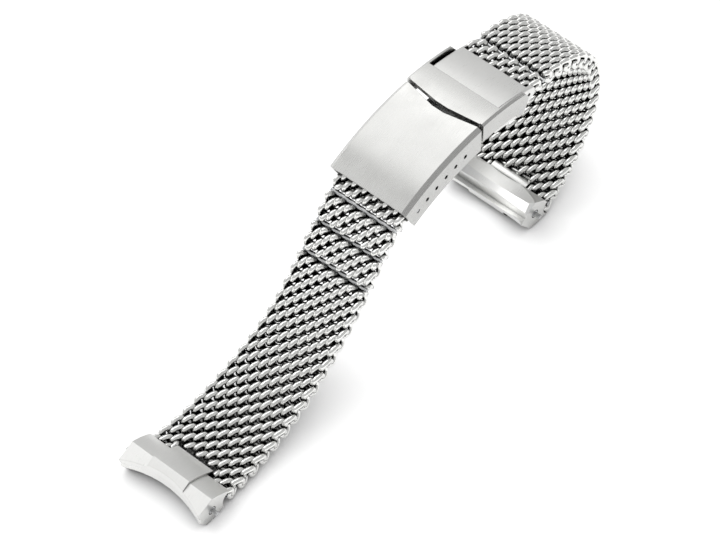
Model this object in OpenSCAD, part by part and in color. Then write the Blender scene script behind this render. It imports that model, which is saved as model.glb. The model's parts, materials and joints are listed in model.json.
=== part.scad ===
// Steel mesh watch band with curved end links and a fold-over clasp, standing as an open loop.
// X runs from the lower end link to the loop, Y across the strap, Z up from the table.
// The strap is followed as a chain of stations [x, z, heading], from one end link to the other.

/* [Strap] */
// Width of the strap and of the end links at the watch case
lug_w = 22; // [20:0.5:24]
// Width of the strap at the clasp
clasp_w = 18.2; // [17:0.2:20]
// Thickness of the mesh
mesh_t = 3.9; // [3.6:0.1:4.2]
// Length of one bending length of the lower mesh
lower_len = 13.2; // [12:0.2:14]
// Length of one bending length of the upper mesh
upper_len = 11.5; // [11:0.05:12.5]
// Length of one removable link
link_len = 7; // [6:0.2:8]
// Length of the last lower link, from its pin to the clasp's spring bar
clasp_link_len = 6; // [5.4:0.2:7]
// Length of the short link next to the clasp's end block
short_link_len = 5.4; // [5:0.2:7]

/* [Hinges] */
// Number of knuckles across a hinge, an odd number
knuckles = 5; // [3:2:7]
// Radius of a link pin and of a cross wire
pin_r = 0.5; // [0.4:0.05:0.6]
// Gap between a knuckle and what turns round it
knuckle_gap = 0.15; // [0.1:0.05:0.2]
// Gap between knuckles that lie side by side
side_gap = 0.12; // [0.08:0.02:0.2]
// Radial clearance of a pin that turns in its bore
pin_fit = 0.05; // [0.03:0.01:0.08]
// How far a pin's end lies inside the strap's edge
pin_inset = 0.4; // [0.2:0.1:0.8]

/* [End links] */
// Length of an end link from its hinge to its tips
end_len = 9.7; // [9:0.1:11]
// How far the tips lie below the mesh's middle plane
tip_drop = 0.9; // [0.5:0.1:1.4]
// Distance of the top crease from the hinge
crease_len = 6.6; // [6:0.1:7]
// Height of the top crease over the middle plane
crease_h = 2.4; // [2.2:0.1:2.8]
// Distance of the heel from the hinge
heel_len = 5.6; // [5.2:0.1:6]
// Depth of the heel below the middle plane
heel_depth = 4.8; // [4.4:0.1:5]
// Depth of the underside at the middle of the width
belly_depth = 2.7; // [2.6:0.1:3]
// Radius of the watch case that the end links fit
case_r = 34; // [30:1:40]
// Width of the raised centre block
block_w = 9.8; // [8:0.2:11]
// Height of the centre block over the wings
block_rise = 0.5; // [0.4:0.05:0.5]
// Bulge of an end link's top between its hinge and its crease
top_bulge = 0.25; // [0.1:0.05:0.3]
// Wall left between the spring bar's bore and the undercut of the front edge
undercut_wall = 0.4; // [0.35:0.05:0.6]
// Radius of the arch under an end link's front edge
arch_r = 27; // [25:1:32]
// Height of the arch under the front lip, over the middle plane
lip_h = 0.4; // [0.2:0.1:0.5]
// How far the front lip stands out over the case's wall
lip_out = 1.2; // [0.8:0.1:1.3]

/* [Spring bars] */
// Outer radius of a spring bar's tube
bar_r = 1; // [0.95:0.05:1.1]
// Wall of a spring bar's tube
bar_wall = 0.2; // [0.18:0.01:0.24]
// Radius of the tips that enter the watch's lugs
lug_tip_r = 0.55; // [0.4:0.05:0.55]
// How far a tip stands out of the end link's side
lug_tip_out = 1.5; // [1.2:0.1:1.8]
// Radius of the tips in the clasp's adjusting holes
clasp_tip_r = 0.45; // [0.35:0.05:0.5]
// Distance of the spring bar from the end link's hinge
bar_len = 5.2; // [5:0.1:5.4]
// Depth of the spring bar below the middle plane
bar_depth = 1.1; // [1:0.1:1.2]

/* [Clasp cover] */
// Radius of the clasp's curve over its top
clasp_r = 55; // [50:1:65]
// Length of the cover along its top
cover_len = 25; // [24:0.5:26]
// Height of the cover's side walls
cover_h = 6.9; // [6.7:0.1:7.2]
// Thickness of the cover's sheet
sheet_t = 0.9; // [0.7:0.05:1]
// Chamfer along the cover's top edges
cover_chamfer = 0.9; // [0.5:0.05:1]
// Gap between the strap's edge and the cover's wall
cover_gap = 0.25; // [0.2:0.05:0.4]
// Number of adjusting holes on each side
hole_n = 6; // [3:1:6]
// Distance between adjusting holes
hole_pitch = 3.3; // [2.8:0.1:3.4]
// Distance of the first adjusting hole from the cover's mouth
hole_in = 2.95; // [2.6:0.05:3.4]
// Depth of the adjusting holes below the cover's top
hole_depth = 4.1; // [4:0.05:4.2]
// Depth of the cover's V notch
notch_depth = 1.9; // [1.2:0.1:2.2]
// Flat at the bottom of the V notch
notch_flat = 3; // [1:0.5:5]

/* [Clasp blades] */
// Width of the two folding blades
blade_w = 14.8; // [13:0.2:15]
// Thickness of a blade
blade_t = 0.8; // [0.6:0.05:0.85]
// Depth of the upper blade's top below the cover's top
blade_depth = 6.2; // [6.2:0.05:6.4]
// Gap between the folded blades
blade_gap = 0.3; // [0.2:0.05:0.4]
// Depth of the cover's hinge pin below the cover's top
cover_pin_depth = 5.4; // [5.2:0.05:5.5]
// Distance of the cover's hinge pin from the V end
cover_pin_in = 2.6; // [2.4:0.1:3]
// Radius of the cover's hinge pin
cover_pin_r = 0.6; // [0.5:0.05:0.65]
// Distance of the blades' hinge from the cover's mouth
blade_pin_in = 5; // [4.8:0.1:5.6]
// Radius of the blades' hinge knuckles
blade_knuckle_r = 1.1; // [1:0.05:1.15]
// Width of the lower blade's knuckle and of the catch clip
clip_w = 4.8; // [4:0.2:5.6]

/* [End block and flip lock] */
// Distance of the end block's face from the cover's V end
block_in = 6.6; // [6:0.2:7.4]
// Length of the end block's top
block_len = 10.2; // [9.6:0.2:11]
// How far the end block's top lies below the cover's curve
block_low = 0.5; // [0.3:0.1:0.8]
// Thickness of a side cheek that carries the strap's pin
cheek_t = 0.75; // [0.6:0.05:0.9]
// Thickness of the flip lock's arms
arm_t = 0.9; // [0.7:0.05:1]
// Gap between the flip lock and what it lies against
lock_gap = 0.25; // [0.2:0.05:0.3]
// Thickness of the flip lock's nose
nose_t = 1; // [0.8:0.1:1.2]
// How far the flip lock stands over the cover's curve
lock_rise = 0.4; // [0.2:0.1:0.6]
// Height of the flip lock's arms at the nose
arm_h = 5; // [4.4:0.1:5.2]
// Distance of the flip lock's pivot from the end block's face
pivot_in = 7.2; // [6.6:0.2:7.4]
// Depth of the flip lock's pivot below the cover's curve
pivot_depth = 4.5; // [4.4:0.05:4.6]
// Length of the flip lock's arms past the pivot
arm_tail = 1.8; // [1.4:0.1:2]
// Radius of the flip lock's pivot pin
pivot_r = 0.6; // [0.5:0.05:0.7]
// Radius of the rivets that hold the lower blade to the end block
rivet_r = 0.7; // [0.5:0.05:0.8]
// Depth of the V of the flip lock's nose
nose_depth = 1.2; // [0.6:0.1:1.2]
// Open gap between the nose and the cover at the sides
nose_gap = 0.5; // [0.3:0.1:0.8]

/* [Standing pose] */
// Tip-up of the lower end link on the table
lower_tilt = 22; // [18:0.5:24]
// Heading of the lower mesh at its end link
lower_heading = -6.1; // [-8:0.5:0]
// Bend of the first lower length
lower_turn_1 = 19.9; // [10:0.5:24]
// Bend of the second lower length
lower_turn_2 = 12.4; // [8:0.5:20]
// Bend of the third lower length
lower_turn_3 = 15.8; // [8:0.5:20]
// Bend of the fourth lower length
lower_turn_4 = 13.3; // [8:0.5:18]
// Turn at the first removable link
link_turn = -4.3; // [-10:0.5:0]
// Turn of the last lower link into the clasp
clasp_link_turn = -19; // [-22:0.5:-14]
// Slope of the clasp at the cover's mouth
clasp_lean = 27; // [24:0.5:30]
// Turn of the short link at the end block
short_turn = 13; // [8:0.5:16]
// Bend of the first upper length
upper_turn_1 = -25.5; // [-30:0.5:-20]
// Bend of the second upper length
upper_turn_2 = -45; // [-50:0.5:-38]
// Bend of the third upper length
upper_turn_3 = -37.5; // [-42:0.5:-32]
// Bend of the fourth upper length
upper_turn_4 = -20.5; // [-26:0.5:-16]
// Bend of the fifth upper length
upper_turn_5 = -24.5; // [-30:0.5:-18]

/* [Hidden] */
$fn = 96;
eps = 0.01;
far = 60;
knuckle_r = mesh_t / 2;
socket_r = knuckle_r + knuckle_gap;
notch_r = knuckle_r + block_rise + knuckle_gap;
lock_chamfer = 0.5;

// The station at the far end of a length that bends evenly by an angle
function arc_end(p, l, turn) =
    abs(turn) < 0.01
    ? [p[0] + l * cos(p[2]), p[1] + l * sin(p[2]), p[2] + turn]
    : let (r = l * 180 / (PI * turn))
      [p[0] + r * (sin(p[2] + turn) - sin(p[2])), p[1] - r * (cos(p[2] + turn) - cos(p[2])), p[2] + turn];

// The next station after a kink and an even bend
function next(p, kink, l, turn) = arc_end([p[0], p[1], p[2] + kink], l, turn);

// A point given along and across a station's heading
function at(p, along, across) =
    [p[0] + along * cos(p[2]) - across * sin(p[2]), p[1] + along * sin(p[2]) + across * cos(p[2])];

// Lower strap, from its end link on the table up to the clasp's spring bar
lower_hinge_z = heel_depth * cos(lower_tilt) - heel_len * sin(lower_tilt);
la0 = [0, lower_hinge_z, lower_heading];
la1 = next(la0, 0, lower_len, lower_turn_1);
la2 = next(la1, 0, lower_len, lower_turn_2);
la3 = next(la2, 0, lower_len, lower_turn_3);
la4 = next(la3, 0, lower_len, lower_turn_4);
la5 = next(la4, link_turn, link_len, 0);
la6 = next(la5, 0, link_len, 0);
la7 = next(la6, clasp_link_turn, clasp_link_len, 0);

// Clasp: every place in it is a radius from the curve's centre and an angle from the vertical
deg_per_mm = 180 / (PI * clasp_r);
hole_r = clasp_r - hole_depth;
mouth_a = -clasp_lean;
hole_a = mouth_a + hole_in * deg_per_mm;
hole_step = hole_pitch * deg_per_mm;
end_a = mouth_a + cover_len * deg_per_mm;
clasp_x = la7[0] - hole_r * sin(hole_a);
clasp_z = la7[1] - hole_r * cos(hole_a);
function polar(r, a) = [clasp_x + r * sin(a), clasp_z + r * cos(a)];

cover_w = clasp_w + 2 * (cover_gap + sheet_t);
wall_r = clasp_r - cover_h;
// The V starts a little outside the side walls
v_half = cover_w / 2 + 0.4;
upper_blade_r = clasp_r - blade_depth;
lower_blade_r = upper_blade_r - blade_t - blade_gap;
cover_pin_a = end_a - cover_pin_in * deg_per_mm;
cover_pin = polar(clasp_r - cover_pin_depth, cover_pin_a);
blade_pin_a = mouth_a + blade_pin_in * deg_per_mm;
blade_pin = polar(lower_blade_r + blade_gap / 2, blade_pin_a);
blade_socket_r = blade_knuckle_r + knuckle_gap;
cover_lug_t = 0.8;
ear_r = cover_pin_r + 0.6;
cover_lug_y = blade_w / 2 + side_gap;
cover_lug_out = cover_lug_y + cover_lug_t;

block_chamfer = 0.35;
block_top_r = clasp_r - block_low;
block_a0 = end_a + block_in * deg_per_mm;
block_a1 = block_a0 + block_len * deg_per_mm;
pivot = polar(clasp_r - pivot_depth, block_a0 + pivot_in * deg_per_mm);
arm_y = clasp_w / 2 + lock_gap;
lock_r = clasp_r + lock_rise;
cheek_in = clasp_w / 2 - cheek_t;

// Upper strap, from the end block round the loop to its end link on the table
lip = sqrt(socket_r * socket_r - knuckle_r * knuckle_r);
strap_pin_a = block_a1 + lip * deg_per_mm;
strap_pin = polar(block_top_r - knuckle_r, strap_pin_a);
ub0 = [strap_pin[0], strap_pin[1], -strap_pin_a];
ub1 = next(ub0, short_turn, short_link_len, 0);
ub2 = next(ub1, 0, upper_len, upper_turn_1);
ub3 = next(ub2, 0, upper_len, upper_turn_2);
ub4 = next(ub3, 0, upper_len, upper_turn_3);
ub5 = next(ub4, 0, upper_len, upper_turn_4);
ub6 = next(ub5, 0, upper_len, upper_turn_5);

// The same station with its heading turned
function kinked(p, kink) = [p[0], p[1], p[2] + kink];

// Crease and back of the centre block's rounded top
block_crease = [-crease_len - block_rise / 2, crease_h + block_rise];
top_back = -0.6;
block_back = [top_back, knuckle_r + block_rise];
crown_r = bulge_r(block_crease, block_back, top_bulge);
crown = bulge_centre(block_crease, block_back, top_bulge);
// The upper end link tips until that top rests on the table, and hangs straight down from a hinge so
// high that the table is out of its reach
crown_reach = max(-1, min(1, (crown_r - ub6[1]) / norm(crown)));
upper_tilt = atan2(-crown[1], -crown[0]) - asin(crown_reach);

// The taper ends where the third length meets the fourth
function lower_w(i) = i < 3 ? lug_w + (clasp_w - lug_w) * i / 3 : clasp_w;
function upper_w(i) = i > 3 ? clasp_w + (lug_w - clasp_w) * (i - 3) / 3 : clasp_w;

// The origin is the middle of the whole length, on the table
lower_tip_x = -end_len * cos(lower_tilt) - tip_drop * sin(lower_tilt);
function outer_x(p, turn, part) = at(arc_end(p, upper_len * part, turn * part), 0, knuckle_r)[0];
loop_x = max([for (part = [0 : 0.01 : 1])
    max(outer_x(ub2, upper_turn_2, part), outer_x(ub3, upper_turn_3, part))]);
mid_x = (lower_tip_x + loop_x) / 2;

// Puts the strap's stations, which start at the lower hinge, round the origin
module placed() {
    translate([-mid_x, 0, 0]) children();
}

// A flat shape in X and Z, given a thickness from one Y to another
module slab(y0, y1) {
    translate([0, y1, 0]) rotate([90, 0, 0]) linear_extrude(y1 - y0) children();
}

// The same on both sides of the middle
module slab_pair(y0, y1) {
    slab(y0, y1) children();
    slab(-y1, -y0) children();
}

// A round rod along Y
module rod(p, r, y0, y1) {
    translate([p[0], y1, p[1]]) rotate([90, 0, 0]) cylinder(h = y1 - y0, r = r);
}

module disc(p, r) {
    translate([p[0], p[1]]) circle(r = r);
}

// Side view of a bending length of mesh between two stations
module length_2d(a, l, turn) {
    if (abs(turn) < 0.01) {
        translate([a[0], a[1]]) rotate(a[2]) translate([0, -knuckle_r]) square([l, mesh_t]);
    } else {
        r = l * 180 / (PI * turn);
        c = at(a, 0, r);
        reach = (abs(r) + mesh_t) * 1.3 / cos(turn / 2);
        b = arc_end(a, l, turn);
        ua = [a[0] - c[0], a[1] - c[1]] / abs(r);
        ub = [b[0] - c[0], b[1] - c[1]] / abs(r);
        intersection() {
            difference() {
                disc(c, abs(r) + knuckle_r);
                disc(c, abs(r) - knuckle_r);
            }
            polygon([c, c + reach * ua, c + reach * ub]);
        }
    }
}

// Keeps what lies inside a strap of one width at the first station and another at the second
module tapered(a, l, turn, wa, wb) {
    b = arc_end(a, l, turn);
    chord = atan2(b[1] - a[1], b[0] - a[0]);
    reach = norm([b[0] - a[0], b[1] - a[1]]);
    over = mesh_t;
    grow = (wb - wa) / 2 / reach * over;
    intersection() {
        children();
        translate([a[0], 0, a[1]]) rotate([0, -chord, 0]) translate([0, 0, -far / 2]) linear_extrude(far)
            polygon([[-over, wa / 2 - grow], [reach + over, wb / 2 + grow],
                     [reach + over, -wb / 2 - grow], [-over, -wa / 2 + grow]]);
    }
}

// Every second knuckle of a hinge of width w, the outer ones included or left out
function knuckle_rows(w, outer) = [for (i = [outer ? 0 : 1 : 2 : knuckles - 1])
    [-w / 2 + i * w / knuckles + (i == 0 ? -1 : side_gap / 2),
     -w / 2 + (i + 1) * w / knuckles - (i == knuckles - 1 ? -1 : side_gap / 2)]];

// Side view of what joins a knuckle at one station to its length, clear of the other station's
module knuckle_root(a, l, turn, own, other) {
    difference() {
        intersection() {
            length_2d(a, l, turn);
            disc(own, mesh_t);
        }
        disc(other, socket_r);
    }
}

// One length of mesh. rows are its own knuckles at its first and second station, wire adds a
// cross wire at the second, and bore is the radius of the holes at each.
// fork_a and fork_b are true where the end takes the centre block of an end link.
module mesh_length(a, l, turn, wa, wb, rows_a, rows_b, bore_a, bore_b,
        wire = false, fork_a = false, fork_b = false) {
    b = arc_end(a, l, turn);
    color("lightsteelblue") tapered(a, l, turn, wa, wb) difference() {
        union() {
            slab(-lug_w, lug_w) difference() {
                length_2d(a, l, turn);
                disc(a, socket_r);
                disc(b, socket_r);
            }
            for (y = rows_a) slab(y[0], y[1]) {
                disc(a, knuckle_r);
                knuckle_root(a, l, turn, a, b);
            }
            for (y = rows_b) slab(y[0], y[1]) {
                disc(b, knuckle_r);
                knuckle_root(a, l, turn, b, a);
            }
            if (wire) rod(b, pin_r, -wb / 2 + pin_inset, wb / 2 - pin_inset);
        }
        if (bore_a > 0) rod(a, bore_a, -lug_w, lug_w);
        if (bore_b > 0) rod(b, bore_b, -lug_w, lug_w);
        if (fork_a) rod(a, notch_r, -block_w / 2 - side_gap, block_w / 2 + side_gap);
        if (fork_b) rod(b, notch_r, -block_w / 2 - side_gap, block_w / 2 + side_gap);
    }
}

// The mesh's knuckles at an end link lie either side of the centre block
fork_rows = [[-lug_w, -block_w / 2 - side_gap], [block_w / 2 + side_gap, lug_w]];
full_row = [[-lug_w, lug_w]];
cheek_row = [[-cheek_in + side_gap, cheek_in - side_gap]];
turn_r = pin_r + pin_fit;

module link_pin(p, w) {
    color("silver") rod(p, pin_r, -w / 2 + pin_inset, w / 2 - pin_inset);
}

// Spring bar: half is half the tube's length, out is where a tip's shoulder ends and end is where
// the tip itself ends, all from the middle
swage_l = 0.5;
head_l = 0.9;
neck_r = 0.35;
shoulder_l = 0.4;
tip_travel = 1.3;
bar_bore_r = bar_r - bar_wall;
head_r = bar_bore_r - pin_fit;
shoulder_r = bar_r - 0.15;

module bar_tube(p, half) {
    color("gainsboro") difference() {
        rod(p, bar_r, -half, half);
        rod(p, bar_bore_r, -half + swage_l, half - swage_l);
        rod(p, neck_r + pin_fit, -half - 1, half + 1);
    }
}

// A tip has a head inside the tube, a neck through the tube's swaged end, a shoulder for the
// tool that takes the bar out, and a free end. side is 1 at the far edge and -1 at the near one.
module bar_tip(p, half, out, end, tip_r, side) {
    inner = half - swage_l;
    color("silver") mirror([0, side > 0 ? 0 : 1, 0]) {
        rod(p, head_r, inner - head_l, inner - eps);
        rod(p, neck_r, inner - head_l / 2, out - eps);
        rod(p, shoulder_r, out - shoulder_l, out);
        rod(p, tip_r, out - eps, end);
    }
}

module bar_spring(p, half) {
    reach = half - swage_l - head_l - eps;
    color("darkgray") difference() {
        rod(p, head_r - 0.03, -reach, reach);
        rod(p, head_r * 0.6, -reach - 1, reach + 1);
    }
}

lug_bar_out = lug_w / 2;
lug_bar_half = lug_bar_out - shoulder_l - tip_travel;
lug_bar_end = lug_bar_out + lug_tip_out;
clasp_bar_out = clasp_w / 2 - 0.1;
clasp_bar_half = clasp_bar_out - shoulder_l - tip_travel;
clasp_bar_end = cover_w / 2 - 0.1;

// End link in its own frame: hinge at the origin, X towards the mesh, Z out of the wrist
tip = [-end_len, -tip_drop];
crease = [-crease_len, crease_h];
heel = [-heel_len, -heel_depth];
chin_out = [-0.7, -0.3];
chin = (tip + heel) / 2 + chin_out;
link_bar = [-bar_len, -bar_depth];
// The wing's rear underside, below the hinge
rear = [-2.1, -3];
// How steeply the undercut falls behind the front edge
undercut_a = 37;
case_x = -end_len - sqrt(case_r * case_r - lug_w * lug_w / 4);

// The piece of a circle over a chord, h high
function bulge_r(p, q, h) = pow(norm(q - p), 2) / (8 * h) + h / 2;
function bulge_up(p, q) = [p[1] - q[1], q[0] - p[0]] / norm(q - p);
function bulge_centre(p, q, h) = (p + q) / 2 - bulge_up(p, q) * (bulge_r(p, q, h) - h);
module bulge_2d(p, q, h) {
    over = 2 * h * bulge_up(p, q);
    intersection() {
        disc(bulge_centre(p, q, h), bulge_r(p, q, h));
        polygon([p, p + over, q + over, q]);
    }
}

module end_link_side(rise) {
    front = crease + [-rise / 2, rise];
    back = [top_back, knuckle_r + rise];
    polygon([tip, front, back, [1, knuckle_r + rise * 0.6], [1, 0], [0, 0], rear, heel, chin]);
    bulge_2d(front, back, top_bulge);
}

module end_link_shape() {
    belly_r = (pow(lug_w / 2, 2) + pow(heel_depth - belly_depth, 2)) / (2 * (heel_depth - belly_depth));
    color("silver") difference() {
        union() {
            slab_pair(block_w / 2 - eps, lug_w / 2) difference() {
                end_link_side(0);
                disc([0, 0], socket_r);
                translate([0, -far / 2]) square([far, far]);
            }
            slab(-block_w / 2, block_w / 2) {
                intersection() {
                    end_link_side(block_rise);
                    union() {
                        translate([-far, -far]) square([far, 2 * far]);
                        disc([0, 0], knuckle_r + block_rise);
                    }
                    union() {
                        translate([-far, -far]) square([far - knuckle_r, 2 * far]);
                        translate([-far, -knuckle_r]) square([2 * far, far]);
                    }
                }
                disc([0, 0], knuckle_r);
            }
        }
        // The concave face towards the watch case
        translate([case_x, 0, -far / 2]) cylinder(h = far, r = case_r, $fn = 180);
        // The lip that is left over it
        intersection() {
            translate([case_x, 0, -far]) cylinder(h = 2 * far, r = case_r + lip_out, $fn = 180);
            translate([-far, 0, lip_h - arch_r]) rotate([0, 90, 0]) cylinder(h = far, r = arch_r);
        }
        // The hollow of the underside
        translate([-far, 0, -belly_depth - belly_r])
            rotate([0, 90, 0]) cylinder(h = far - socket_r, r = belly_r);
        // The undercut behind the front edge
        translate([link_bar[0], 0, link_bar[1]]) rotate([0, undercut_a, 0])
            translate([-far / 2, 0, -bar_r - pin_fit / 2 - undercut_wall - arch_r])
                rotate([0, 90, 0]) cylinder(h = far, r = arch_r);
        rod(link_bar, bar_r + pin_fit / 2, -lug_w, lug_w);
        rod([0, 0], pin_r + pin_fit, -lug_w, lug_w);
    }
}

module in_lower_end_link() {
    translate([0, 0, lower_hinge_z]) rotate([0, lower_tilt, 0]) children();
}

module in_upper_end_link() {
    translate([ub6[0], 0, ub6[1]]) rotate([0, -upper_tilt, 0]) rotate([180, 0, 0]) children();
}

// Side view of a plate that follows the clasp's curve
module ring_2d(r0, r1, a0, a1) {
    mid = (a0 + a1) / 2;
    reach = r1 * 1.2 / cos((a1 - a0) / 2);
    intersection() {
        difference() {
            disc([clasp_x, clasp_z], r1);
            disc([clasp_x, clasp_z], r0);
        }
        polygon([[clasp_x, clasp_z], polar(reach, a0), polar(reach, mid), polar(reach, a1)]);
    }
}

// Takes the corner off along both long edges of a curved plate of radius r and half width y
module edge_chamfer(r, y, c) {
    over = 1;
    for (s = [-1, 1]) translate([clasp_x, 0, clasp_z]) rotate([90, 0, 0]) rotate_extrude($fn = 180)
        polygon([[r - c, s * y], [r + over, s * (y - c - over)],
                 [r + over, s * (y + over)], [r - c, s * (y + over)]]);
}

// Plan of the V between the cover and the nose, cut straight down
module v_plan(x, depth) {
    side = v_half + 1;
    polygon([[x, -side], [x, -v_half], [x - depth, -notch_flat / 2], [x - depth, notch_flat / 2],
             [x, v_half], [x, side], [x + far, side], [x + far, -side]]);
}

module clasp_cover() {
    end_x = polar(clasp_r, end_a)[0];
    color("whitesmoke") difference() {
        union() {
            difference() {
                slab(-cover_w / 2, cover_w / 2) ring_2d(wall_r, clasp_r, mouth_a, end_a);
                slab(-cover_w / 2 + sheet_t, cover_w / 2 - sheet_t)
                    ring_2d(wall_r - 1, clasp_r - sheet_t, mouth_a - 3, end_a + 3);
                edge_chamfer(clasp_r, cover_w / 2, cover_chamfer);
            }
            // Ears that carry the hinge pin
            slab_pair(cover_lug_y, cover_lug_out) {
                disc(cover_pin, ear_r);
                ring_2d(clasp_r - cover_pin_depth, clasp_r - sheet_t / 2,
                        cover_pin_a - ear_r * deg_per_mm, cover_pin_a + ear_r * deg_per_mm);
            }
        }
        translate([0, 0, clasp_z]) linear_extrude(2 * far) v_plan(end_x, notch_depth);
        rod(cover_pin, cover_pin_r, -cover_lug_out - side_gap, cover_lug_out + side_gap);
        for (i = [0 : hole_n - 1])
            rod(polar(hole_r, hole_a + i * hole_step), clasp_tip_r + pin_fit, -cover_w, cover_w);
    }
}

module cover_hinge_pin() {
    color("silver") rod(cover_pin, cover_pin_r, -cover_lug_out, cover_lug_out);
}

// Half width of the window in which the bare hinge pin and the clip meet
window_y = clip_w / 2 + 3 * side_gap;

module upper_blade() {
    color("lightgray") difference() {
        union() {
            difference() {
                slab(-blade_w / 2, blade_w / 2)
                    ring_2d(upper_blade_r - blade_t, upper_blade_r, blade_pin_a, cover_pin_a);
                slab(-clip_w / 2 - side_gap, clip_w / 2 + side_gap) disc(blade_pin, blade_socket_r);
            }
            slab_pair(window_y, blade_w / 2) disc(cover_pin, ear_r);
            slab_pair(clip_w / 2 + side_gap, blade_w / 2) disc(blade_pin, blade_knuckle_r);
        }
        slab(-window_y, window_y)
            ring_2d(upper_blade_r - 2, upper_blade_r + 4, cover_pin_a - 3 * deg_per_mm, cover_pin_a + 3);
        rod(cover_pin, cover_pin_r + pin_fit, -cover_w, cover_w);
        rod(blade_pin, pin_r, -cover_w, cover_w);
    }
}

module blade_hinge_pin() {
    color("silver") rod(blade_pin, pin_r, -blade_w / 2 + 0.1, blade_w / 2 - 0.1);
}

// Two rivets side by side, up through the lower blade into the end block
rivet_h = 2.2;
rivet_y = 4;
rivet_a = block_a0 + 3 * deg_per_mm;

module rivet_pair() {
    p = polar(lower_blade_r - blade_t, rivet_a);
    for (y = [-rivet_y, rivet_y]) translate([p[0], y, p[1]]) rotate([0, rivet_a, 0])
        cylinder(h = rivet_h, r = rivet_r);
}

module lower_blade() {
    color("lightgray") difference() {
        union() {
            difference() {
                slab(-blade_w / 2, blade_w / 2)
                    ring_2d(lower_blade_r - blade_t, lower_blade_r, blade_pin_a, block_a1 - 1.5 * deg_per_mm);
                slab_pair(clip_w / 2, blade_w) disc(blade_pin, blade_socket_r);
            }
            slab(-clip_w / 2, clip_w / 2) disc(blade_pin, blade_knuckle_r);
        }
        rod(blade_pin, pin_r + pin_fit, -cover_w, cover_w);
        rivet_pair();
    }
}

// Open clip that takes the bare middle of the cover's hinge pin when the clasp closes
module catch_clip() {
    swing = atan2(cover_pin[1] - blade_pin[1], cover_pin[0] - blade_pin[0]);
    mouth = cover_pin_r + 0.12;
    prong_t = 0.45;
    prong_up = 0.7;
    root = 3;
    color("silver") slab(-clip_w / 2, clip_w / 2) difference() {
        translate(cover_pin) rotate(swing) difference() {
            translate([-mouth - prong_t, -root]) square([2 * (mouth + prong_t), root + prong_up]);
            translate([-mouth, 0]) square([2 * mouth, 2 * prong_up]);
            circle(r = mouth);
        }
        disc([clasp_x, clasp_z], lower_blade_r);
    }
}

module end_block() {
    color("lightgray") difference() {
        union() {
            slab(-clasp_w / 2, clasp_w / 2) difference() {
                ring_2d(lower_blade_r, block_top_r, block_a0, strap_pin_a);
                disc(strap_pin, socket_r);
            }
            slab_pair(cheek_in, clasp_w / 2) {
                disc(strap_pin, knuckle_r);
                ring_2d(block_top_r - mesh_t, block_top_r, block_a1 - 2, strap_pin_a);
            }
        }
        rod(pivot, pivot_r + pin_fit, -cover_w, cover_w);
        rod(strap_pin, pin_r, -cover_w, cover_w);
        rivet_pair();
        edge_chamfer(block_top_r, clasp_w / 2, block_chamfer);
    }
}

module block_rivets() {
    color("gainsboro") rivet_pair();
}

module flip_lock() {
    nose_a = end_a + nose_gap * deg_per_mm;
    nose_x = polar(clasp_r, nose_a)[0];
    nose_end_a = block_a0 - lock_gap * deg_per_mm;
    arm_low_r = lock_r - arm_h;
    tail_a = block_a0 + (pivot_in + arm_tail) * deg_per_mm;
    tail_cut = 2.4;
    color("whitesmoke") difference() {
        union() {
            slab(-arm_y, arm_y) ring_2d(lock_r - nose_t, lock_r, nose_a - 3, nose_end_a);
            slab_pair(arm_y - eps, arm_y + arm_t) {
                difference() {
                    ring_2d(arm_low_r, lock_r, nose_a, tail_a);
                    polygon([polar(lock_r + 1, tail_a - 3), polar(lock_r - tail_cut, tail_a + 1),
                             polar(lock_r + 1, tail_a + 2)]);
                }
                disc(pivot, pivot_r + 0.7);
            }
        }
        edge_chamfer(lock_r, arm_y + arm_t, lock_chamfer);
        difference() {
            translate([nose_x - far, -cover_w, clasp_z]) cube([far, 2 * cover_w, 2 * far]);
            translate([0, 0, clasp_z - 1]) linear_extrude(2 * far + 2) v_plan(nose_x, nose_depth);
        }
        rod(pivot, pivot_r, -cover_w, cover_w);
    }
}

module flip_lock_pin() {
    color("silver") rod(pivot, pivot_r, -arm_y - arm_t, arm_y + arm_t);
}

// The mesh lengths of the lower strap. The first takes the end link's centre block.
module lower_length(i) {
    starts = [la0, la1, la2, la3];
    turns = [lower_turn_1, lower_turn_2, lower_turn_3, lower_turn_4];
    w = lower_w(i);
    end_w = lower_w(i + 1);
    last = i == 3;
    mesh_length(starts[i], lower_len, turns[i], w, end_w,
        i == 0 ? fork_rows : knuckle_rows(w, false), knuckle_rows(end_w, true),
        i == 0 ? pin_r : turn_r, last ? pin_r : 0, wire = !last, fork_a = i == 0);
}

module removable_link(start) {
    mesh_length(start, link_len, 0, clasp_w, clasp_w,
        knuckle_rows(clasp_w, false), knuckle_rows(clasp_w, true), turn_r, pin_r);
}

module clasp_link() {
    mesh_length(kinked(la6, clasp_link_turn), clasp_link_len, 0, clasp_w, clasp_w,
        knuckle_rows(clasp_w, false), full_row, turn_r, bar_r + pin_fit);
}

module short_link() {
    mesh_length(kinked(ub0, short_turn), short_link_len, 0, clasp_w, clasp_w,
        cheek_row, knuckle_rows(clasp_w, true), turn_r, pin_r);
}

// The mesh lengths of the upper strap. The last takes the end link's centre block.
module upper_length(i) {
    starts = [ub1, ub2, ub3, ub4, ub5];
    turns = [upper_turn_1, upper_turn_2, upper_turn_3, upper_turn_4, upper_turn_5];
    w = upper_w(i + 1);
    end_w = upper_w(i + 2);
    last = i == 4;
    mesh_length(starts[i], upper_len, turns[i], w, end_w,
        knuckle_rows(w, false), last ? fork_rows : knuckle_rows(end_w, true),
        turn_r, last ? pin_r : 0, wire = !last, fork_b = last);
}

module lug_tube() {
    bar_tube(link_bar, lug_bar_half);
}

module lug_tip(side) {
    bar_tip(link_bar, lug_bar_half, lug_bar_out, lug_bar_end, lug_tip_r, side);
}

module clasp_tip(side) {
    bar_tip(la7, clasp_bar_half, clasp_bar_out, clasp_bar_end, clasp_tip_r, side);
}

module lug_spring() {
    bar_spring(link_bar, lug_bar_half);
}

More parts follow.
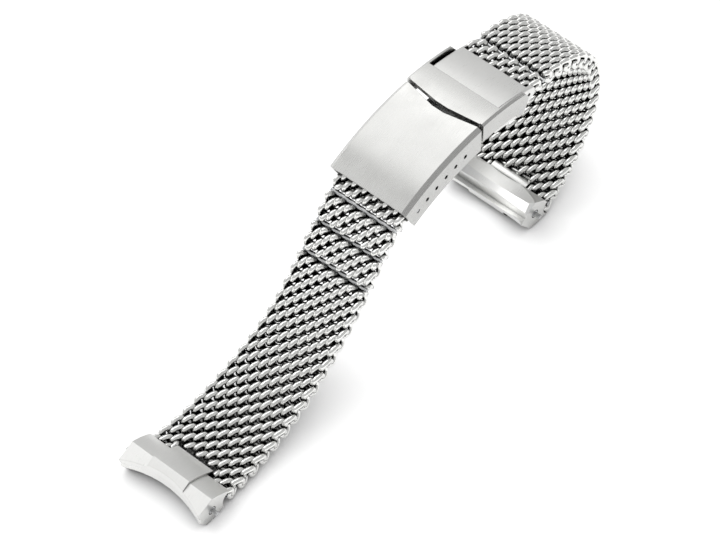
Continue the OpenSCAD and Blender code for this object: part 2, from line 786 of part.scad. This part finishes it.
placed() in_lower_end_link() end_link_shape();  // lower_end_link
placed() link_pin(la0, lug_w);  // lower_end_link_pin
placed() in_lower_end_link() lug_tube();  // lower_spring_bar_tube
placed() in_lower_end_link() lug_tip(-1);  // lower_spring_bar_tip_near
placed() in_lower_end_link() lug_tip(1);  // lower_spring_bar_tip_far
placed() in_lower_end_link() lug_spring();  // lower_spring_bar_spring
placed() lower_length(0);  // lower_mesh_1
placed() lower_length(1);  // lower_mesh_2
placed() lower_length(2);  // lower_mesh_3
placed() lower_length(3);  // lower_mesh_4
placed() link_pin(la4, clasp_w);  // lower_link_pin_1
placed() removable_link(kinked(la4, link_turn));  // lower_removable_link_1
placed() link_pin(la5, clasp_w);  // lower_link_pin_2
placed() removable_link(la5);  // lower_removable_link_2
placed() link_pin(la6, clasp_w);  // lower_link_pin_3
placed() clasp_link();  // lower_clasp_link
placed() bar_tube(la7, clasp_bar_half);  // clasp_spring_bar_tube
placed() clasp_tip(-1);  // clasp_spring_bar_tip_near
placed() clasp_tip(1);  // clasp_spring_bar_tip_far
placed() bar_spring(la7, clasp_bar_half);  // clasp_spring_bar_spring
placed() clasp_cover();
placed() cover_hinge_pin();
placed() upper_blade();
placed() blade_hinge_pin();
placed() lower_blade();
placed() catch_clip();
placed() end_block();
placed() block_rivets();
placed() flip_lock();
placed() flip_lock_pin();
placed() link_pin(ub0, clasp_w);  // upper_strap_pin
placed() short_link();  // upper_short_link
placed() link_pin(ub1, clasp_w);  // upper_link_pin
placed() upper_length(0);  // upper_mesh_1
placed() upper_length(1);  // upper_mesh_2
placed() upper_length(2);  // upper_mesh_3
placed() upper_length(3);  // upper_mesh_4
placed() upper_length(4);  // upper_mesh_5
placed() link_pin(ub6, lug_w);  // upper_end_link_pin
placed() in_upper_end_link() end_link_shape();  // upper_end_link
placed() in_upper_end_link() lug_tube();  // upper_spring_bar_tube
placed() in_upper_end_link() lug_tip(1);  // upper_spring_bar_tip_near
placed() in_upper_end_link() lug_tip(-1);  // upper_spring_bar_tip_far
placed() in_upper_end_link() lug_spring();  // upper_spring_bar_spring
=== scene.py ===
# %% [markdown]
# # A steel mesh watch band
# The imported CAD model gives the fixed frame: end links, clasp, pins and their bodies. This script
# dresses it: woven wire takes the place of the plain mesh solids, every steel part gets its finish,
# and a camera, a table and soft light make the picture.

# %% Load the frame
import bpy
import json
import math
import numpy as np
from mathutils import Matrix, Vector


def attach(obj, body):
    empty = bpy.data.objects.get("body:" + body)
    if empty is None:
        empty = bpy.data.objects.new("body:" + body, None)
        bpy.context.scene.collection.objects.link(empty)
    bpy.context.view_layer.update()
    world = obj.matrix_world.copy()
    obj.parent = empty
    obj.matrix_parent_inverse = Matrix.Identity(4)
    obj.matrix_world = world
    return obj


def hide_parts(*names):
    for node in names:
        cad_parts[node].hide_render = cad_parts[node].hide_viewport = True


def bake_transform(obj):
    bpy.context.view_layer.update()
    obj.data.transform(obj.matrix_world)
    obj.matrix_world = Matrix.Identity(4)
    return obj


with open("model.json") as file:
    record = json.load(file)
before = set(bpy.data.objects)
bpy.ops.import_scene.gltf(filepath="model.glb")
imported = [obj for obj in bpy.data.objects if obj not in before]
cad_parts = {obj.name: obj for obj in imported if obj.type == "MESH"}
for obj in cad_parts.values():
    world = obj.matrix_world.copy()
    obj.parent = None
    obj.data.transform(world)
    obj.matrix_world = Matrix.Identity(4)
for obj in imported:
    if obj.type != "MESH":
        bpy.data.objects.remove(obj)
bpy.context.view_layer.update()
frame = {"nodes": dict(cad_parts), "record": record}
MM = 0.001

# %% [markdown]
# ## Colours
# Finishes are picked as hex colours, the way a screen shows them, but Blender computes with linear
# light. One function converts, so that the numbers in this file stay the ones a colour picker gives.

# %% Linear colour
SRGB_KNEE = 0.04045  # below this value the sRGB curve is a straight line


def linear(hex_colour):
    """A hex colour such as C8C9CB as linear RGBA."""
    values = [int(hex_colour[i:i + 2], 16) / 255 for i in (0, 2, 4)]
    return tuple(v / 12.92 if v <= SRGB_KNEE else ((v + 0.055) / 1.055) ** 2.4 for v in values) + (1.0,)


WHITE = (1.0, 1.0, 1.0, 1.0)
print("mid grey in linear light", linear("808080"))

# %% [markdown]
# ## Nodes
# A material is a tree of shader nodes. They can be placed by hand in the editor, but a script that
# lists them is easier to read again. One function adds a node of any kind with its settings and
# links, and another starts an empty material.

# %% Node helpers
def add(tree, kind, inputs=None, **settings):
    """Adds a node. inputs maps an input's name or number to a value or to another node's output."""
    made = tree.nodes.new(kind)
    for key, value in settings.items():
        setattr(made, key, value)
    for key, value in (inputs or {}).items():
        if isinstance(value, bpy.types.NodeSocket):
            tree.links.new(value, made.inputs[key])
        else:
            made.inputs[key].default_value = value
    return made


def new_material(name):
    """A material with an empty tree but for its output."""
    material = bpy.data.materials.new(name)
    material.use_nodes = True
    tree = material.node_tree
    tree.nodes.clear()
    return material, tree, tree.nodes.new("ShaderNodeOutputMaterial")


# %% [markdown]
# ## The camera
# The picture was taken with a long lens from far away, which keeps parallel edges nearly parallel.
# The values were solved from the end links' and the clasp's corners. A camera looks along its own
# -Z axis, so it is turned until its +Z axis points back from the aim to where it stands.

# %% Camera
AIM = Vector((-0.00517, -0.0018, 0.0209))
AZIMUTH, ELEVATION, DISTANCE = math.radians(-48.85), math.radians(51.23), 0.8
LENS_MM, SENSOR_MM = 193.96, 36
back = Vector((math.sin(AZIMUTH) * math.cos(ELEVATION), -math.cos(AZIMUTH) * math.cos(ELEVATION),
               math.sin(ELEVATION)))
lens = bpy.data.cameras.new("camera")
lens.lens, lens.sensor_width, lens.clip_start, lens.clip_end = LENS_MM, SENSOR_MM, 0.01, 10
camera = bpy.data.objects.new("camera", lens)
camera.location = AIM + DISTANCE * back
camera.rotation_euler = back.to_track_quat("Z", "Y").to_euler()
bpy.context.scene.collection.objects.link(camera)
bpy.context.scene.camera = camera
bpy.context.scene.view_settings.view_transform = "Standard"
print("camera at", [round(v, 3) for v in camera.location])

# %% [markdown]
# ## Light from all around
# Steel has hardly a colour of its own: it shows what stands round it. In a studio that is a grey
# room with white panels, so here the light is painted on the world as soft round spots on grey.
# Each spot is a direction, the cosines at which its edge starts and at which it is full, and a
# strength. The direction decides which face of the clasp or the end links catches it.

# %% Panels
PANELS = [
    ((0.21, 0.42, 0.88), 0.91, 0.96, 1.15),    # white on the clasp's cover, but not at its mouth
    ((0.56, 0.41, 0.72), 0.96, 0.99, 0.60),    # the lock's nose
    ((-0.50, 0.40, 0.77), 0.94, 0.975, 0.45),  # the slopes in front of the lower end link
    ((-0.66, 0.35, 0.66), 0.78, 0.98, 0.10),   # a broad glow on the wire
    ((0.80, 0.41, 0.44), 0.80, 0.97, 0.10),    # the end block and the end link's top
]
ROOM = 0.56  # brightness of the grey between the panels
world = bpy.data.worlds.new("room")
bpy.context.scene.world = world
world.use_nodes = True
tree = world.node_tree
tree.nodes.clear()
way = add(tree, "ShaderNodeTexCoord").outputs["Generated"]
glow = None
for direction, edge, full, strength in PANELS:
    unit = Vector(direction).normalized()
    along = add(tree, "ShaderNodeVectorMath", {0: way, 1: tuple(unit)}, operation="DOT_PRODUCT")
    spot = add(tree, "ShaderNodeMapRange", {"Value": along.outputs["Value"], "From Min": edge,
               "From Max": full, "To Max": strength}, interpolation_type="SMOOTHSTEP").outputs["Result"]
    glow = spot if glow is None else add(tree, "ShaderNodeMath", {0: glow, 1: spot}).outputs[0]
total = add(tree, "ShaderNodeMath", {0: glow, 1: ROOM}).outputs[0]
print("panels", len(PANELS), "on a room of", ROOM)

# %% [markdown]
# ## The backdrop
# The picture's background is plain white. Making the room that bright would flood the steel, so the
# world shows white to the camera alone, and everything else still sees the room and its panels.

# %% Backdrop
shine = add(tree, "ShaderNodeCombineColor", {"Red": total, "Green": total, "Blue": total})
lit = add(tree, "ShaderNodeBackground", {"Color": shine.outputs[0], "Strength": 1.0})
plain = add(tree, "ShaderNodeBackground", {"Color": WHITE, "Strength": 1.0})
seen = add(tree, "ShaderNodeLightPath").outputs["Is Camera Ray"]
both = add(tree, "ShaderNodeMixShader", {0: seen, 1: lit.outputs[0], 2: plain.outputs[0]})
out = tree.nodes.new("ShaderNodeOutputWorld")
tree.links.new(both.outputs[0], out.inputs["Surface"])
print("world nodes", len(tree.nodes))

# %% [markdown]
# ## The table's paint
# A board painted matt white, with specks of about a millimetre that are hardly seen. The camera and
# the steel see it lifted to white by a little glow of its own. The glow fades close to the band, which
# paints a soft shadow round it, and the steel sees less of it than the camera, so that the sides of
# the clasp stay grey.

# %% Table paint
SPECKS_PER_METRE = 900.0
PAINTED_SHADOW_MM = 17        # how far from the band its soft shadow reaches
DARKEST_SKY = 0.2     # share of open sky at which the glow is gone
TABLE_GLOW = 0.55
GLOW_IN_STEEL = 0.8   # share of the glow that steel reflects
paint, tree, out = new_material("table_white")
speck = add(tree, "ShaderNodeTexNoise", {"Scale": SPECKS_PER_METRE, "Detail": 2.0})
tint = add(tree, "ShaderNodeMapRange", {"Value": speck.outputs[0], "To Min": 0.93, "To Max": 0.95})
shade = add(tree, "ShaderNodeCombineColor", {"Red": tint.outputs[0], "Green": tint.outputs[0],
            "Blue": tint.outputs[0]})
matt = add(tree, "ShaderNodeBsdfDiffuse", {"Color": shade.outputs[0], "Roughness": 0.5})
path = add(tree, "ShaderNodeLightPath")
lift = add(tree, "ShaderNodeMath", {0: path.outputs["Is Glossy Ray"], 1: GLOW_IN_STEEL,
           2: path.outputs["Is Camera Ray"]}, operation="MULTIPLY_ADD")
# painted shadow: the glow is dimmed where the band hides the sky, which darkens the table round it
near = add(tree, "ShaderNodeAmbientOcclusion", {"Distance": PAINTED_SHADOW_MM * MM}, samples=8)
glow_after_painted_shadow = add(tree, "ShaderNodeMapRange", {"Value": near.outputs["AO"], "From Min": DARKEST_SKY,
               "To Min": 0.0, "To Max": TABLE_GLOW})
amount = add(tree, "ShaderNodeMath", {0: lift.outputs[0], 1: glow_after_painted_shadow.outputs[0]}, operation="MULTIPLY")
glow = add(tree, "ShaderNodeEmission", {"Color": WHITE, "Strength": amount.outputs[0]})
both = add(tree, "ShaderNodeAddShader", {0: matt.outputs[0], 1: glow.outputs[0]})
tree.links.new(both.outputs[0], out.inputs["Surface"])
print("table paint nodes", len(tree.nodes))

# %% [markdown]
# ## The table
# One square face is enough for a flat table. It is so wide that its edges lie outside the picture,
# and it lies a hair under the band, because two faces at the same height would flicker.

# %% Table
REACH = 3.0       # metres from the middle to each edge
HAIR = 0.00005    # metres under the band
mesh = bpy.data.meshes.new("table")
mesh.from_pydata([(-REACH, -REACH, 0), (REACH, -REACH, 0), (REACH, REACH, 0), (-REACH, REACH, 0)], [],
                 [(0, 1, 2, 3)])
mesh.materials.append(paint)
table = bpy.data.objects.new("table", mesh)
table.location.z = -HAIR
bpy.context.scene.collection.objects.link(table)
print("table is", 2 * REACH, "m wide")

# %% [markdown]
# ## The key lamp
# The world's light comes from everywhere and casts no clear shadow. One soft square lamp high
# behind the band gives the shadows a side and puts small glints on the wire. It stands where the
# flat faces don't mirror it into the camera.

# %% Lamp
def soft_lamp(name, direction, distance, size, power):
    """A square lamp that points at the band."""
    data = bpy.data.lights.new(name, "AREA")
    data.size, data.energy = size, power
    lamp = bpy.data.objects.new(name, data)
    unit = Vector(direction).normalized()
    lamp.location = AIM + distance * unit
    lamp.rotation_euler = unit.to_track_quat("Z", "Y").to_euler()
    bpy.context.scene.collection.objects.link(lamp)
    print(name, power, "W at", [round(v, 2) for v in lamp.location])


soft_lamp("key_lamp", (-0.20, 0.80, 0.57), 0.8, 0.4, 1.2)

# %% [markdown]
# ## How steel is made
# All parts are stainless steel, and only the surface differs. What the eye reads is roughness: low
# for polish, higher for satin, with fine scratches that run where a belt has brushed it. The
# scratches are noise, stretched along them. Real ones are finer than a pixel, so these are drawn
# about a tenth of a millimetre wide, as coarse as it takes to show. A bevel node rounds the sharp
# edges for the light only, and deep in a gap the steel is painted dark: painted shade where little
# light would reach.

# %% Steel
CLOUDS_PER_METRE = 140.0   # patches of about 7 mm, handled a little more or less
# painted shade: how little open sky a point sees decides how far its colour is darkened to near black
GAP_SHUT, GAP_OPEN = 0.30, 0.66   # share of open sky at which a gap is black and at which it is clear
PAINTED_SHADE_BLACK = "060606"
SCRATCH_SHADE = 0.86   # brightness at the bottom of a scratch


def steel(name, colour, rough, grain=(1, 1, 1), grain_mm=0.25, depth=0.0, edge_mm=0.12, spread=0.08,
          painted_shade_mm=0.0):
    """Stainless steel. grain stretches the scratches, grain_mm is their width, depth their bump in mm.
    edge_mm rounds the edges, spread varies the roughness, and the last argument is the depth up to which
    gaps are painted dark as shade."""
    material, tree, out = new_material(name)
    place = add(tree, "ShaderNodeTexCoord").outputs["Object"]
    per_metre = 1 / (grain_mm * MM)
    stretched = add(tree, "ShaderNodeMapping", {"Vector": place,
                    "Scale": tuple(per_metre / g for g in grain)})
    scratch = add(tree, "ShaderNodeTexNoise", {"Vector": stretched.outputs[0], "Scale": 1.0, "Detail": 4.0,
                  "Roughness": 0.6}).outputs[0]
    cloud = add(tree, "ShaderNodeTexNoise", {"Vector": place, "Scale": CLOUDS_PER_METRE,
                "Detail": 3.0}).outputs[0]
    mixed = add(tree, "ShaderNodeMath", {0: scratch, 1: cloud}, operation="MULTIPLY").outputs[0]
    roughness = add(tree, "ShaderNodeMapRange", {"Value": mixed, "From Min": 0.1, "From Max": 0.45,
                    "To Min": rough - spread, "To Max": rough + spread}).outputs[0]
    light = linear(colour)
    dark = tuple(SCRATCH_SHADE * v for v in light[:3]) + (1.0,)
    paint = add(tree, "ShaderNodeMix", {0: scratch, 6: dark, 7: light}, data_type="RGBA")
    # painted shade: the colour goes to near black where the walls of a gap shut out the sky
    if painted_shade_mm:
        shut_in = add(tree, "ShaderNodeAmbientOcclusion", {"Distance": painted_shade_mm * MM}, samples=8)
        open_part = add(tree, "ShaderNodeMapRange", {"Value": shut_in.outputs["AO"], "From Min": GAP_SHUT,
                        "From Max": GAP_OPEN}, interpolation_type="SMOOTHSTEP").outputs[0]
        paint = add(tree, "ShaderNodeMix", {0: open_part, 6: linear(PAINTED_SHADE_BLACK), 7: paint.outputs[2]},
                    data_type="RGBA")
    rounded = add(tree, "ShaderNodeBevel", {"Radius": edge_mm * MM}, samples=6)
    bump = add(tree, "ShaderNodeBump", {"Height": scratch, "Distance": max(depth, 0.001) * MM,
               "Strength": 0.6 if depth else 0.0, "Normal": rounded.outputs[0]})
    shader = add(tree, "ShaderNodeBsdfPrincipled", {"Base Color": paint.outputs[2], "Metallic": 1.0,
                 "Roughness": roughness, "Normal": bump.outputs[0]})
    tree.links.new(shader.outputs[0], out.inputs["Surface"])
    return material


# %% [markdown]
# ## The six finishes
# Each slot of the CAD model names a finish, and here each gets its steel. The grain's three numbers
# stretch the scratches along x, y and z: the band runs in the x and z plane, and its pins along y.

# %% Finishes
ALONG_BAND = (14, 1, 14)
ALONG_COVER = (18, 1, 18)
ALONG_SHEET = (10, 1, 10)
STEEL = {
    # drawn wire, polished by tumbling: bright, a little blurred, with painted shade between the turns
    "mesh_wire": steel("tumbled_wire_steel", "F4F4F2", 0.24, grain_mm=0.2, depth=0.003, edge_mm=0.03,
                       painted_shade_mm=1.5),
    # end links and end block, brushed along the band: pale, with broad soft highlights, and painted shade
    # up to 6 mm into corners and hollows
    "satin_steel": steel("satin_brushed_steel", "EAEAE8", 0.34, ALONG_BAND, 0.12, 0.006,
                         painted_shade_mm=6),
    # cover and lock, finely brushed and then buffed: a quiet sheen with sharper edges, and painted shade in
    # narrow gaps
    "polished_steel": steel("fine_brushed_steel", "C8C8C6", 0.28, ALONG_COVER, 0.10, 0.004,
                            painted_shade_mm=1.2),
    # blades, plain rolled sheet: greyer, with painted shade where they lie folded
    "blade_steel": steel("rolled_blade_steel", "BFC0C2", 0.28, ALONG_SHEET, 0.2, 0.004, painted_shade_mm=5),
    # turned pins and spring-bar tubes, rubbed along their length: one narrow bright line on each
    "pin_steel": steel("turned_pin_steel", "C4C5C6", 0.24, (1, 8, 1), 0.1, 0.003),
    # spring wire, darker and duller than the pins
    "spring_steel": steel("spring_wire_steel", "A9A9AA", 0.35, (1, 6, 1), 0.15, 0.003),
}
for part in frame["record"]["subparts"]:
    for place in frame["nodes"][part["node"]].material_slots:
        place.material = STEEL[part["material_slot"]]
print("finishes", sorted(STEEL))

# %% [markdown]
# ## The curves the straps follow
# A steel mesh bends evenly, so each strap is a chain of lengths and each length is an arc: a kink
# before it, a length and a turn. A Bezier curve could be drawn over the picture instead, but arcs
# with the CAD's own numbers give its middle plane exactly, so wire put along it sits where the
# plain solids were. A point on a strap is given by its way along, its side and its height.

# %% Arcs and straps
MID = 55.829289       # mm from the lower strap's hinge to the middle of the frame
STRAIGHT = 0.01       # turns under this many degrees are straight


def arc(p, length, turn):
    """The station after an even bend: x, z and heading in mm and degrees."""
    x, z, h = p
    a, b = math.radians(h), math.radians(h + turn)
    if abs(turn) < STRAIGHT:
        return (x + length * math.cos(a), z + length * math.sin(a), h)
    r = length / math.radians(turn)
    return (x + r * (math.sin(b) - math.sin(a)), z - r * (math.cos(b) - math.cos(a)), h + turn)


class Strap:
    """A chain of arcs: kinks, lengths and turns from one end, widths at distances along, and seams.
    The end link's hinge is at the chain's start or at its end."""

    def __init__(self, start, pieces, widths, seams, hinge_at_start):
        self.marks, self.pieces, self.widths, self.seams = [0.0], [], widths, seams
        here = start
        for kink, length, turn in pieces:
            here = (here[0], here[1], here[2] + kink)
            self.pieces.append((here, length, turn))
            here = arc(here, length, turn)
            self.marks.append(self.marks[-1] + length)
        self.hinge = 0.0 if hinge_at_start else self.marks[-1]

    def station(self, s):
        """x, z and heading at distance s along the middle plane, straight on past both ends."""
        i = min(max(int(np.searchsorted(self.marks, s, side="right")) - 1, 0), len(self.pieces) - 1)
        start, length, turn = self.pieces[i]
        part = (s - self.marks[i]) / length
        inside = min(max(part, 0), 1)
        edge = arc(start, length * inside, turn * inside)
        return edge if part == inside else arc(edge, length * (part - inside), 0)

    def point(self, s, y, n):
        """A point in metres: s along, y across, n out of the wrist."""
        x, z, h = self.station(s)
        h = math.radians(h)
        return Vector(((x - n * math.sin(h) - MID) * MM, y * MM, (z + n * math.cos(h)) * MM))

    def width(self, s):
        return float(np.interp(s, *zip(*self.widths)))


# %% [markdown]
# ## The two straps
# Both are as wide as the watch's lugs at their end links and taper over three lengths to the width
# of the clasp. The lower one ends in two removable links and the link that sits in the clasp. The
# upper one starts with a short link at the end block. The seams are where links meet.

# %% Two straps
LUG_WIDTH, CLASP_WIDTH = 22, 18.2
LOWER_LENGTH, LOWER_COUNT = 13.2, 4    # a bending length of the lower strap, and how many
UPPER_LENGTH, UPPER_COUNT = 11.5, 5
TAPERED = 3                            # bending lengths that taper
LINK, CLASP_LINK, SHORT_LINK = 7, 6, 5.4
FIRST_SEAM = LOWER_COUNT * LOWER_LENGTH
lower = Strap((0.0, 2.3527, -6.1),
              [(0, LOWER_LENGTH, turn) for turn in (19.9, 12.4, 15.8, 13.3)]
              + [(-4.3, LINK, 0), (0, LINK, 0), (-19, CLASP_LINK, 0)],
              [(0, LUG_WIDTH), (TAPERED * LOWER_LENGTH, CLASP_WIDTH)],
              (FIRST_SEAM, FIRST_SEAM + LINK, FIRST_SEAM + 2 * LINK), True)
upper = Strap((95.3, 42.695, -4.357),
              [(0, SHORT_LINK, 0)]
              + [(0, UPPER_LENGTH, turn) for turn in (-25.5, -45, -37.5, -20.5, -24.5)],
              [(SHORT_LINK + (UPPER_COUNT - TAPERED) * UPPER_LENGTH, CLASP_WIDTH),
               (SHORT_LINK + UPPER_COUNT * UPPER_LENGTH, LUG_WIDTH)],
              (SHORT_LINK,), False)
print("lower strap", lower.marks[-1], "mm, upper strap", upper.marks[-1], "mm")

# %% [markdown]
# ## Woven wire
# This mesh is a row of flattened coils. Each coil is one wire wound across the strap, and its turns
# hook through the turns of the coils before and after it, like chain link. A bump map would look
# flat at the edges of the band, so every wire is real. Its line is a helix whose round is squared a
# little, and every second row starts half a turn later. At the strap's edges the wire stops moving
# sideways for its last half turn, which gives the rounded ends seen there. At a seam the turns end
# straight, so that a dark line shows between two links, and at an end link the wire bows out round
# the knuckle of the centre block.

# %% The line of a coil
WIRE = 0.60                             # radius of the wire, mm
HALF_ALONG, HALF_HIGH = 1.35, 1.35      # how far a turn reaches along the strap and across it, mm
SQUARE_ALONG, SQUARE_HIGH = 0.9, 0.8    # below 1 the helix is squared
TURNS = 6.5                             # turns over the whole width
SEAM = 0.2                              # how far the wire stays from a seam, mm
BLOCK, KNUCKLE = 5.05, 2.5              # half width of the centre block's slot, reach of its knuckle, mm
AT_BLOCK = 3                            # rows nearer to the hinge than this stop beside the block, mm
AROUND, LEAST_STEPS = 22, 6             # steps in a turn, and the fewest in a coil


def bowed(power, value):
    """A sine or cosine with its curve made fuller."""
    return np.sign(value) * np.abs(value) ** power


def coil_line(strap, s, y0, y1, phase):
    """Points of the wire's middle, and of the coil's own middle, for one coil between two sides."""
    pitch = strap.width(s) / TURNS
    low, high = y0 + WIRE, y1 - WIRE
    theta0 = 2 * math.pi * low / pitch - 0.5 * math.pi
    theta1 = 2 * math.pi * high / pitch + 0.5 * math.pi
    steps = max(int((theta1 - theta0) / (2 * math.pi) * AROUND), LEAST_STEPS)
    theta = np.linspace(theta0, theta1, steps + 1)
    y = np.clip(theta * pitch / (2 * math.pi), low, high)
    n = HALF_HIGH * bowed(SQUARE_HIGH, np.cos(theta + phase))
    along = -HALF_ALONG * bowed(SQUARE_ALONG, np.sin(theta + phase))
    for seam in strap.seams:
        if s < seam:
            along = np.minimum(along, seam - SEAM - WIRE - s)
        else:
            along = np.maximum(along, seam + SEAM + WIRE - s)
    from_hinge = s + along - strap.hinge
    over_block = (np.abs(y) < BLOCK) & (abs(s - strap.hinge) > AT_BLOCK)
    push = np.where(over_block, np.maximum((KNUCKLE + WIRE) / np.hypot(from_hinge, n), 1), 1)
    along, n = from_hinge * push + strap.hinge - s, n * push
    centre = np.array([strap.point(s, b, 0) for b in y])
    path = np.array([strap.point(s + a, b, h) for a, b, h in zip(along, y, n)])
    return path, centre


print("wire", 2 * WIRE, "mm thick")

# %% [markdown]
# ## From a line to a wire
# A curve object with a round bevel would do this too, but its twist is hard to foresee. Here each
# ring of vertices is laid one by one: one arm points away from the coil's middle and the other is
# square to it and to the wire. Two rings in a row are joined by four-sided faces.

# %% Wire from a line
ROUND = 8               # sides of the wire
START_OF_CROSS = 1.5    # how far inside the edge a cross wire ends, in wire radii
CAPS = tuple(range(ROUND))


def tube_faces(rings):
    """Faces of a tube whose rings of vertices follow one another, with both ends closed."""
    faces = []
    for i in range(rings - 1):
        for k in range(ROUND):
            a, b = i * ROUND + k, i * ROUND + (k + 1) % ROUND
            faces.append((a, b, b + ROUND, a + ROUND))
    return faces + [CAPS[::-1], tuple(c + (rings - 1) * ROUND for c in CAPS)]


def coil(strap, s, y0, y1, phase):
    """Vertices and faces of one coil at distance s, between two sides."""
    path, centre = coil_line(strap, s, y0, y1, phase)
    tangent = np.gradient(path, axis=0)
    tangent /= np.linalg.norm(tangent, axis=1)[:, None]
    out = path - centre
    out -= (out * tangent).sum(1)[:, None] * tangent
    out /= np.linalg.norm(out, axis=1)[:, None]
    side = np.cross(tangent, out)
    ring = np.linspace(0, 2 * math.pi, ROUND, endpoint=False)
    verts = (path[:, None] + WIRE * MM * (np.cos(ring)[None, :, None] * out[:, None]
             + np.sin(ring)[None, :, None] * side[:, None])).reshape(-1, 3)
    return verts, tube_faces(len(path))


def cross_wire(strap, s, y0, y1):
    """Vertices and faces of the straight wire on which two neighbouring coils hook."""
    ring = np.linspace(0, 2 * math.pi, ROUND, endpoint=False)
    inset = START_OF_CROSS * WIRE
    verts = [strap.point(s + WIRE * math.cos(a), y, WIRE * math.sin(a))
             for y in (y0 + inset, y1 - inset) for a in ring]
    return verts, tube_faces(2)


# %% [markdown]
# ## One object from many wires
# Hundreds of wires as separate objects would be slow to load, so the wires that move together are
# one object with smooth shading. Its slot is named, so that the finish can be changed later.

# %% Woven objects
def woven(name, strap, rows):
    """One object from coils and the straight wires between them. rows holds (s, y0, y1, phase, step)."""
    verts, faces = [], []
    shapes = [coil(strap, s, y0, y1, phase) for s, y0, y1, phase, _ in rows]
    shapes += [cross_wire(strap, s + step / 2, y0, y1) for s, y0, y1, _, step in rows if step]
    for v, f in shapes:
        start = len(verts)
        verts.extend(map(tuple, v))
        faces.extend(tuple(i + start for i in face) for face in f)
    mesh = bpy.data.meshes.new(name)
    mesh.from_pydata(verts, [], faces)
    mesh.polygons.foreach_set("use_smooth", [True] * len(mesh.polygons))
    mesh.materials.append(STEEL["mesh_wire"])
    obj = bpy.data.objects.new(name, mesh)
    bpy.context.scene.collection.objects.link(obj)
    print(name, "rows", len(rows), "faces", len(mesh.polygons))
    return obj


# %% [markdown]
# ## Rows of each strap
# The rows are counted along the strap, and every second one starts half a turn later. At an end
# link the first two rows lie either side of its centre block, so each is made as two short coils.

# %% Rows
def row(strap, s, index, step, split=False):
    """The row at s as one coil, or as two beside the centre block. step is the way to the next row."""
    half = strap.width(s) / 2
    phase = math.pi * (index % 2)
    if split:
        return [(s, -half, -BLOCK, phase, step), (s, BLOCK, half, phase, step)]
    return [(s, -half, half, phase, step)]


def rows_at(strap, places, first, last):
    """Rows at all places of a strap, with the first and last few of them split."""
    steps = list(np.diff(places)) + [0]
    return [(s, r) for i, (s, step) in enumerate(zip(places, steps))
            for r in row(strap, s, i, step, i < first or i >= len(places) - last)]


LAST_LOWER_ROW = 51.95                        # mm along the lower strap
UPPER_FIRST_ROW, UPPER_BEND_ROW = 0.82, 10.66   # mm after the short link: rows of the first length
UPPER_NEXT_ROW = 12.22                        # and the first row after it
lower_places = list(np.linspace(0.0, LAST_LOWER_ROW, 31))
lower_rows = rows_at(lower, lower_places, 2, 0)
upper_places = [SHORT_LINK + v for v in list(np.linspace(UPPER_FIRST_ROW, UPPER_BEND_ROW, 7))
                + list(np.linspace(UPPER_NEXT_ROW, UPPER_COUNT * UPPER_LENGTH, 32))]
upper_rows = rows_at(upper, upper_places, 0, 2)
print("rows", len(lower_places), "and", len(upper_places))

# %% [markdown]
# ## Strips over the hinges
# The CAD model bends at hinges between its lengths, but real mesh bends all along. So a strip of
# wire reaches from the middle of one length to the middle of the next; it is fixed in its rest shape
# and follows neither body, and only the half lengths at the two ends ride on a single body.

# %% Strips
PAST_END = 1    # mm by which the first and last strips reach past the strap's ends


def strip(name, strap, rows, low, high, bodies, nodes):
    """The rows between two distances as one piece on one body, or, when two bodies are given, fixed in
    place on neither.
    """
    piece = woven(name, strap, [r for s, r in rows if low <= s < high])
    if len(bodies) == 1:
        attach(piece, bodies[0])
    else:
        strap.point(low, 0, 0)
        strap.point(high, 0, 0)
        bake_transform(piece)
    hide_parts(*nodes)


def weave(side, strap, rows, begin, length, count):
    """All strips of a strap's bending lengths, which start at begin."""
    half = length / 2
    end = begin + length * count
    strip(f"woven_{side}_1", strap, rows, begin - PAST_END, begin + half,
          [f"{side}_strap_1"], [f"{side}_mesh_1"])
    for i in range(1, count):
        hinge = begin + length * i
        strip(f"woven_{side}_bend_{i}", strap, rows, hinge - half, hinge + half,
              [f"{side}_strap_{i}", f"{side}_strap_{i + 1}"], [f"{side}_mesh_{i}", f"{side}_mesh_{i + 1}"])
    strip(f"woven_{side}_{count}", strap, rows, end - half, end + PAST_END,
          [f"{side}_strap_{count}"], [f"{side}_mesh_{count}"])


weave("lower", lower, lower_rows, 0, LOWER_LENGTH, LOWER_COUNT)
weave("upper", upper, upper_rows, SHORT_LINK, UPPER_LENGTH, UPPER_COUNT)

# %% [markdown]
# ## Removable links
# Each is four rows long, or three next to the end block, with a small gap at its pins. That gap is
# the seam by which a link is found and pushed out when the band is made shorter. A link doesn't
# bend: it rides on its own body, because it turns on a real pin.

# %% Links
LINKS = [
    ("woven_link_1", lower, FIRST_SEAM, FIRST_SEAM + LINK, 4, "removable_link_1", "lower_removable_link_1"),
    ("woven_link_2", lower, FIRST_SEAM + LINK, FIRST_SEAM + 2 * LINK, 4, "removable_link_2",
     "lower_removable_link_2"),
    ("woven_clasp_link", lower, FIRST_SEAM + 2 * LINK, 73.4, 4, "clasp_link", "lower_clasp_link"),
    ("woven_short_link", upper, -0.3, SHORT_LINK, 3, "short_link", "upper_short_link"),
]
index = len(lower_places)
for name, strap, start, end, count, body, node in LINKS:
    step = (end - start) / count
    places = [start + step * (i + 0.5) for i in range(count)]
    piece = woven(name, strap, [r for i, s in enumerate(places)
                                for r in row(strap, s, index + i, step if i < count - 1 else 0)])
    index += count
    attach(piece, body)
    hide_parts(node)
